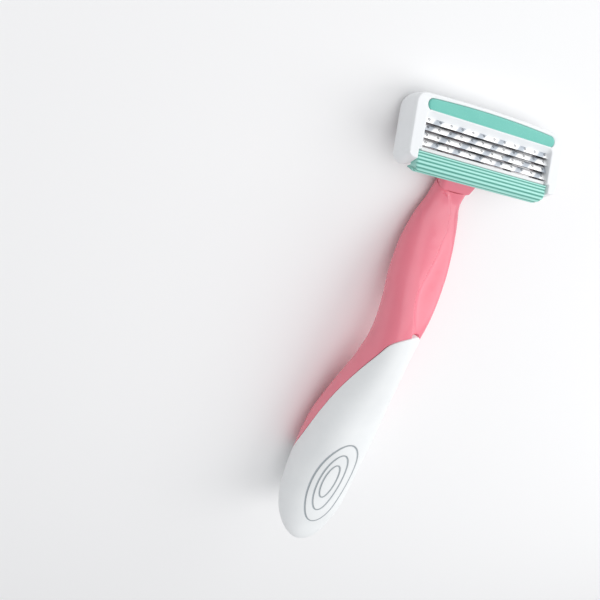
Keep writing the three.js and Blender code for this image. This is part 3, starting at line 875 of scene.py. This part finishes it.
outline = frame_outline()
directions = outward(outline[:, :2])
print("points round the cover frame:", len(outline))

# %% Cover frame: mesh
# from the flat face down: how far outwards, and the height
OUTER_SIDE = [(-0.78, 0.8), (-0.6, 0.79), (-0.44, 0.68), (-0.32, 0.47), (-0.2, 0.1), (-0.06, -0.5)]
OUTER_SIDE += [(0.18, -1.6), (0.36, -2.5), (0.4, -3.2), (0.38, -4.1)]
OUTER_SIDE += [(0.3, -4.75), (0.17, -5.1), (0.0, -5.26)]
UNDER_SIDE = [(-0.25, BACK), (-WALL, BACK), (-WALL - 0.02, -1.45)]
UNDER_SIDE += [(-WALL - 0.1, ROOF), (-WALL - 0.4, ROOF)]
# the window's lip and wall: how far into the window, as a share of the wall's spread, and the height
LIP_SIDE = [(-0.42, 0.0, 0.8), (-0.2, 0.0, 0.79), (-0.06, 0.0, 0.72), (0.0, 0.04, 0.56), (0.0, 0.5, 0.02)]
LIP_SIDE += [(0.0, 0.95, -0.5), (0.0, 1.0, -0.8), (0.0, 1.0, -1.1)]
LIP_SIDE += [(-0.05, 1.0, -1.25), (-0.15, 1.0, ROOF)]
WALL_SPREAD = (0.2, 0.95)  # at the ends of the window, and along its cap side


def frame_loops():
    outer = np.vstack([smooth_path(OUTER_SIDE, 3), UNDER_SIDE])
    lip = smooth_path(LIP_SIDE, 4)
    lip = lip[np.linspace(0, len(lip) - 1, len(outer)).round().astype(int)]
    creep = np.linspace(0, 1, len(outer)) * 0.02
    share = outline[:, 2]
    cap_side = np.clip(-directions[:, 1], 0, 1) * (outline[:, 1] > 0)
    spread = WALL_SPREAD[0] + (WALL_SPREAD[1] - WALL_SPREAD[0]) * cap_side
    loops = []
    for (off, height), (lip_off, slope, lip_height), nudge in zip(outer, lip, creep):
        # at the foot of the legs, the steps inwards are only half as deep
        thin = np.where((outline[:, 1] < FRAME_LOW + 1) & (off < 0), 0.5, 1)
        distance = share * off * thin + (1 - share) * (lip_off + slope * spread - nudge)
        level = share * height + (1 - share) * (lip_height - nudge)
        place = outline[:, :2] + directions * distance[:, None]
        loops.append(np.c_[place, level])
    return loops


LUBE_HALF, LUBE_LOW, LUBE_END, LUBE_ARCH, LUBE_FLOOR = 16.7, 4.2, 1.25, 0.55, -0.2


def lube_loop(grow, height):
    """The strip's outline: a flat long side by the window, round ends, and a bowed side by the cap."""
    half, low, radius = LUBE_HALF + grow, LUBE_LOW - grow, LUBE_END + grow
    right, high = half - radius, LUBE_LOW - grow + 2 * radius
    points = [(x, low) for x in np.linspace(-right, right, 30)[:-1]]
    points += arc((right, low + radius), radius, -90, 90, 24)
    points += arch((right, high), (-right, high), LUBE_ARCH, 48)
    points += arc((-right, low + radius), radius, 90, 270, 24)[:-1]
    return np.array([(x, y, height) for x, y in points])


def fill_between(shape, *loops):
    """Fills the flat area inside the first loop of point numbers and outside the others."""
    work = bmesh.new()
    edges = []
    numbers = {}
    for loop in loops:
        corners = [work.verts.new(shape.points[i]) for i in loop]
        for i, corner in zip(loop, corners):
            numbers[corner] = i
        edges += [work.edges.new((a, b)) for a, b in zip(corners, corners[1:] + corners[:1])]
    filled = bmesh.ops.triangle_fill(work, use_beauty=True, use_dissolve=False, edges=edges)
    faces = [f for f in filled["geom"] if isinstance(f, bmesh.types.BMFace)]
    shape.faces += [tuple(numbers[v] for v in face.verts) for face in faces]
    work.free()


def cover_frame():
    shape = Shape()
    loops = frame_loops()
    shape.loops(loops)
    count = len(outline)
    first_under = (len(loops) - 1) * count
    recess_start = len(shape.points)
    # the recess for the strip, from its lip down to its floor
    recess = [(0.2, FACE), (0.16, 0.79), (0.11, 0.74), (0.08, 0.64), (0.08, -0.1), (0.02, LUBE_FLOOR)]
    shape.loops([lube_loop(*row) for row in recess])
    lap_count = len(lube_loop(0, 0))
    floor_start = recess_start + (len(recess) - 1) * lap_count
    fill_between(shape, range(count), range(recess_start, recess_start + lap_count))
    fill_between(shape, range(first_under, first_under + count))
    fill_between(shape, range(floor_start, floor_start + lap_count))
    return shape


def keep_flats_flat(piece):
    """Lets the big flat faces decide the shading, so that a rounded edge doesn't dim them."""
    weights = piece.modifiers.new("flat_faces_first", "WEIGHTED_NORMAL")
    weights.keep_sharp = True
    weights.weight = 90


frame_piece = put("cover_frame", cover_frame(), HEAD, white_abs, "cartridge", "soft_white", 40)
keep_flats_flat(frame_piece)

# %% [markdown]
# The lubricating strip lies in the cap's recess. It is extruded and die cut, so its edge is only just
# rounded, and it is a little crowned along its middle.


# %% Lubricating strip
def lube_strip():
    edge = [(-0.05, LUBE_FLOOR + 0.05), (0.0, LUBE_FLOOR + 0.1), (0.0, 0.6), (-0.03, 0.76), (-0.12, 0.87)]
    edge += [(-0.26, 0.92), (-0.6, 0.94)]
    shape = Shape()
    loops = [lube_loop(*row) for row in edge]
    shape.loops(loops, ends=(True, False))
    count = len(loops[0])
    fill_between(shape, range((len(loops) - 1) * count, len(loops) * count))
    return shape


strip_piece = put("lube_strip", lube_strip(), HEAD, teal_polymer, "cartridge", "lube_polymer", 50)
keep_flats_flat(strip_piece)

# %% [markdown]
# The guard is a rubber strip with ribs along it. The ribs grow from the blades towards the edge, and
# the strip wraps round that edge. Its section is swept from end to end. A rib height is stored with
# each point, so that the finish can paint a highlight on the crests and shade in the grooves.

# %% Ribbed guard
GUARD_HALF, GUARD_TOP = 16.9, -4.25
RIBS, RIB_LIFT, RIB_GROWTH = 8, 0.27, 1.25
RIB_STEPS = 12
GUARD_CORNER = 1.6
GUARD_LOW = -8.3


def guard_path():
    """Round the lower edge: a flat by the blades, a corner, and a short skirt (y, z)."""
    turn = np.linspace(0, math.pi / 2, 25)
    corner = [(-6.1 - 2.0 * math.sin(a), -1.5 + 1.7 * math.cos(a)) for a in turn]
    return np.array([(GUARD_TOP, 0.25)] + corner + [(-7.8, -3.0)])


def guard_section():
    """The ribbed outside as rows of y, z, rib height and the way in, then the plain inside."""
    path = guard_path()
    run = np.r_[0, np.cumsum(np.linalg.norm(np.diff(path, axis=0), axis=1))]
    share = np.linspace(0, 1, RIBS * RIB_STEPS + 1)
    place = run[-1] * share**RIB_GROWTH
    y, z = (np.interp(place, run, path[:, i]) for i in (0, 1))
    slope = np.gradient(np.c_[y, z], place + np.arange(len(place)) * 1e-9, axis=0)
    slope /= np.linalg.norm(slope, axis=1)[:, None]
    rib = np.abs(np.sin(share * RIBS * math.pi))
    size = 0.6 + 0.4 * share
    lift = RIB_LIFT * size * (rib**0.8 - 0.35)
    outside = np.c_[y + slope[:, 1] * lift, z - slope[:, 0] * lift, rib**1.4, -slope[:, 1], slope[:, 0]]
    # the plain inside has as many points, so that the ends can be closed with narrow faces
    inner = np.array([(GUARD_TOP, -2.3), (-6.9, -2.3), (-6.9, -3.6), (-7.2, -3.6)])
    inner_run = np.r_[0, np.cumsum(np.linalg.norm(np.diff(inner, axis=0), axis=1))]
    inner_place = np.linspace(0, inner_run[-1], len(outside))
    inside = np.zeros_like(outside)
    inside[:, 0], inside[:, 1] = (np.interp(inner_place, inner_run, inner[:, i]) for i in (0, 1))
    return np.vstack([outside, inside[::-1]])


def guard_rubber():
    section = guard_section()
    # near the lower edge the ends follow a round corner
    below = np.clip(GUARD_LOW + GUARD_CORNER - section[:, 0], 0, GUARD_CORNER - 0.05)
    half = GUARD_HALF - GUARD_CORNER + np.sqrt(GUARD_CORNER**2 - below**2)
    shape = Shape()
    loops = []
    heights = []
    round_end = [(0.0, 1.0), (0.03, 0.6), (0.1, 0.28), (0.22, 0.08), (0.4, 0.0)]
    for side in (-1, 1):
        stations = [(half - back, inward) for back, inward in round_end]
        for reach, inward in stations if side < 0 else stations[::-1]:
            ring = section[:, :2] + section[:, 3:] * inward * 0.4
            loops.append(np.c_[side * reach, ring])
            # towards the rounded ends the painted light eases to 0.7, so that the ends are painted light
            heights.append(section[:, 2] * (1 - inward) + 0.7 * inward)
    shape.loops(loops)
    count = len(section)
    for first, flip in ((0, 1), ((len(loops) - 1) * count, -1)):
        for i in range(count // 2 - 1):
            corners = (first + i, first + count - 1 - i, first + count - 2 - i, first + i + 1)
            shape.faces.append(corners[::flip])
    return shape, np.concatenate(heights)


guard_shape, rib_heights = guard_rubber()
guard_piece = put("guard_rubber", guard_shape, HEAD, teal_tpe, "cartridge", "teal_rubber", 70)
stored = guard_piece.data.attributes.new("rib_height", "FLOAT", "POINT")
assert len(stored.data) == len(rib_heights), "merging points changed their order"
stored.data.foreach_set("value", rib_heights.astype(np.float32))

# %% [markdown]
# Each blade is a narrow strip of steel whose edge is ground and honed to a slim wedge. It is welded to
# a bent support by a row of laser spots, which show on top as small dark dimples. The supports' legs
# stand in the tray's slots, and let each blade sink when it is pressed.

# %% Blades
BLADE_COUNT, BLADE_PITCH, BLADE_HALF = 4, 1.6, 17.3
WELDS, WELD_PITCH, WELD_RADIUS = 12, 2.8, 0.24
WELD_PLACE, BLADE_SLOPE = (0.2, -0.267), -0.393
WELD_FACES = 5 * 16 + 1  # of which the first ring is bright steel


def bar(section, half):
    """A section (y, z) drawn out along x, its ends eased a little."""
    section = np.array(section, float)
    middle = section.mean(0)
    loops = []
    for reach, shrink in [(-half, 0.9), (-half + 0.04, 1), (half - 0.04, 1), (half, 0.9)]:
        loops.append(np.c_[np.full(len(section), reach), middle + (section - middle) * shrink])
    return Shape().loops(loops, ends=(True, True))


def blade_middle(i):
    return ((BLADE_COUNT - 1) / 2 - i) * BLADE_PITCH


def weld_spot(x, y, z, slope):
    """A dimple with a slightly raised ring, lying on the blade's sloping top."""
    profile = [(1.25, -0.02), (1.1, 0.012), (0.95, 0.016), (0.7, 0.004), (0.35, -0.004), (0.05, -0.006)]
    loops = []
    for share, lift in profile:
        turn = np.arange(16) / 16 * 2 * math.pi
        across, along = np.cos(turn) * WELD_RADIUS * share, np.sin(turn) * WELD_RADIUS * share
        loops.append(np.c_[x + across, y + along, z + along * slope + lift])
    return Shape().loops(loops, ends=(False, True))


def blade(i):
    y = blade_middle(i)
    section = [(-0.62, 0.05), (-0.4, -0.03), (0.72, -0.47), (0.8, -0.51), (0.81, -0.55), (0.77, -0.6)]
    section += [(0.56, -0.56), (-0.3, -0.2)]
    return bar([(y + a, b) for a, b in section], BLADE_HALF)


def support(i):
    y = blade_middle(i)
    bend = arc((y + 0.27, -1.02), 0.38, 68, 0, 6)
    inner_bend = arc((y + 0.27, -1.02), 0.1, 0, 68, 4)
    section = [(y - 0.42, -0.36), *bend, (y + 0.65, -3.27), (y + 0.6, -3.3)]
    section += [(y + 0.4, -3.3), (y + 0.37, -3.27), *inner_bend, (y - 0.46, -0.57)]
    return bar(section, BLADE_HALF - 0.2)


for i in range(BLADE_COUNT):
    shape = blade(i)
    blade_faces = len(shape.faces)
    y = blade_middle(i)
    for k in range(WELDS):
        x = (k - (WELDS - 1) / 2) * WELD_PITCH
        shape.add(weld_spot(x, y + WELD_PLACE[0], WELD_PLACE[1], BLADE_SLOPE))
    body = f"blade_unit_{i + 1}"
    piece = put(f"blade_{i + 1}", shape, HEAD, blade_steel, body, "blade_steel", 20)
    piece.data.materials.append(weld_oxide)
    for face in piece.data.polygons:
        if face.index >= blade_faces and (face.index - blade_faces) % WELD_FACES >= 16:
            face.material_index = 1
    put(f"blade_support_{i + 1}", support(i), HEAD, support_steel, body, "support_steel", 30)

# %% [markdown]
# The tray, the release button and its pusher are small functional mouldings, mostly out of sight. Their
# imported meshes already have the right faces, so a copy is cleaned and its hard edges are rounded as a
# real mould's are. The docking piece and the plunger are drawn afresh with round sections.


# %% Functional mouldings
HARD_EDGE = 32  # degrees between two faces


def eased_copy(node, radius, material, body, segments=2):
    """A finer copy of a CAD node: flat faces joined up again, and every hard edge rounded."""
    mesh = frame["nodes"][node].data.copy()
    mesh.name = node + "_piece"
    work = bmesh.new()
    work.from_mesh(mesh)
    bmesh.ops.remove_doubles(work, verts=work.verts, dist=0.004 * MM)
    flat = math.radians(1.0)
    bmesh.ops.dissolve_limit(work, angle_limit=flat, verts=work.verts, edges=work.edges)
    bmesh.ops.recalc_face_normals(work, faces=work.faces)
    work.to_mesh(mesh)
    work.free()
    mesh.materials.clear()
    mesh.materials.append(material)
    mesh.shade_smooth()
    piece = bpy.data.objects.new(node + "_piece", mesh)
    bpy.context.scene.collection.objects.link(piece)
    rounding = piece.modifiers.new("mould_radius", "BEVEL")
    rounding.width = radius * MM
    rounding.segments = segments
    rounding.limit_method = "ANGLE"
    rounding.angle_limit = math.radians(HARD_EDGE)
    rounding.use_clamp_overlap = True
    rounding.harden_normals = True
    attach(piece, body)
    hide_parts(node)
    print(node, "faces before rounding:", len(mesh.polygons))
    return piece


eased_copy("cartridge_housing", 0.08, white_pom, "cartridge")
eased_copy("release_button", 0.15, pink_abs, "release", 3)
eased_copy("ejector_pusher", 0.08, white_pom, "release")


# %% Docking piece
NOSE_LINE = -1.2  # the nose's middle line, below the pivot
ON_NOSE_LINE = axes((1, 0, 0), (0, 1, 0), (0, 0, 1), (0, NOSE_LINE, 0))
ARM, ARM_RADIUS = (3.7, 5.2), 1.3
PIN_END, PIN_RADIUS = 7.1, 0.65
ARM_EASE = 0.15


def connector():
    """The yoke's socket for the nose; its two arms round the pivot line and its pins are added
    afterwards.
    """
    low, high = -4.2, 1.7
    outside = [
        (4.2, low + 0.1, high - 0.1, 1.4, -4.5), (4.33, low - 0.01, high + 0.01, 1.5, -4.35),
        (4.38, low, high - 0.05, 1.45, -4.0), (4.6, -3.92, 1.25, 1.22, -2.7),
        (4.75, -3.7, 1.0, 1.1, -1.9), (4.97, -3.42, 0.62, 0.85, -1.02),
        (5.0, -3.36, 0.56, 0.8, -0.93), (4.9, -3.3, 0.5, 0.8, -0.9),
    ]
    middle, half, tall = NOSE_LINE, 3.5, 2.2
    loops = [rounded_loop(x, a, b, r, z) for x, a, b, r, z in outside]
    hole = 0.95
    for radius, along in [(hole + 0.15, -0.9), (hole, -1.0), (hole, -1.8), (hole + 0.1, -1.9)]:
        loops.append(rounded_loop(radius, middle - radius, middle + radius, radius, along))
    for ease_in, along in [(0.3, -1.9), (0.05, -2.0), (0, -2.2), (0, -4.3), (-0.12, -4.5)]:
        loops.append(
            rounded_loop(half - ease_in, middle - tall + ease_in, middle + tall - ease_in, 0.6, along)
        )
    return Shape().loops(loops, closed=True)


def turned(profile, segments, matrix):
    """A turned piece: radius and place along its axis, spun round z."""
    loops = []
    for radius, along in profile:
        turn = np.arange(segments) / segments * 2 * math.pi
        loops.append(np.c_[np.cos(turn) * radius, np.sin(turn) * radius, np.full(segments, along)])
    return Shape().loops(loops, ends=(True, True)).moved(matrix)


def docking_piece():
    shape = connector()
    for side in (-1, 1):
        along_x = axes((0, 1, 0), (0, 0, side), (side, 0, 0), (0, 0, 0))
        eased = ARM_RADIUS - ARM_EASE
        arm = [(eased, ARM[0]), (ARM_RADIUS, ARM[0] + ARM_EASE)]
        arm += [(ARM_RADIUS, ARM[1] - ARM_EASE), (eased, ARM[1])]
        shape.add(turned(arm, 40, along_x))
        pin = [(PIN_RADIUS, ARM[1] - 0.1), (PIN_RADIUS, PIN_END - ARM_EASE)]
        shape.add(turned(pin + [(PIN_RADIUS - ARM_EASE, PIN_END)], 28, along_x))
        web = [rounded_loop(0.83, -1.29, 0.88, 0.2, z, 3) for z in (-1.6, -0.1)]
        beside = axes((1, 0, 0), (0, 1, 0), (0, 0, 1), (side * sum(ARM) / 2, 0, 0))
        shape.add(Shape().loops(web, ends=(True, True)).moved(beside))
    return shape


put("cartridge_connector", docking_piece(), DOCK, pink_abs, "connector", "pink_plastic", 42)


# %% Plunger
def plunger():
    profile = [(0.4, -3.9), (0.45, -3.85), (0.45, -3.3), (1.0, -3.3)]
    profile += [(1.05, -3.26), (1.05, -2.99), (1.0, -2.95), (0.65, -2.95), (0.65, 1.8)]
    profile += [(0.65 * math.cos(a), 1.8 + 0.65 * math.sin(a)) for a in np.linspace(0, 1.54, 9)[1:]]
    return turned(profile, 32, ON_NOSE_LINE)


put("plunger", plunger(), DOCK, white_pom, "plunger", "white_plastic", 40)

# %% [markdown]
# Both springs are wound from drawn stainless wire. Each is a circle carried along a helix, with its
# end coils wound close, so that it sits square.


# %% Springs
def spring(radius, wire, turns, start, end, matrix):
    """A coil along z from start to end, its first and last half turn lying flat."""
    per_turn, sides = 28, 10
    count = int(turns * per_turn) + 1
    share = np.linspace(0, 1, count)
    rest = 0.5 / turns
    climb = np.clip((share - rest) / (1 - 2 * rest), 0, 1)
    turn = share * turns * 2 * math.pi
    loops = []
    for a, rise in zip(turn, start + (end - start) * climb):
        ring = np.arange(sides) / sides * 2 * math.pi
        reach = radius + wire * np.cos(ring)
        loops.append(np.c_[reach * math.cos(a), reach * math.sin(a), rise + wire * np.sin(ring)])
    return Shape().loops(loops, ends=(True, True)).moved(matrix)


plunger_coil = spring(0.85, 0.08, 3.5, -5.35, -3.5, ON_NOSE_LINE)
plunger_spring = put("plunger_spring", plunger_coil, DOCK, spring_wire, "handle", "spring_steel", 60)
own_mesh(plunger_spring)

along_handle = axes((1, 0, 0), (0, 0, 1), (0, 1, 0), (0, 0, 3.15))
release_coil = spring(0.65, 0.09, 5, 16.39, 19.41, along_handle)
place = ("handle", "spring_steel", 60)
release_spring = put("release_spring", release_coil, HANDLE_AXES, spring_wire, *place)
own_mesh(release_spring)

# %% Update the scene
bpy.context.view_layer.update()
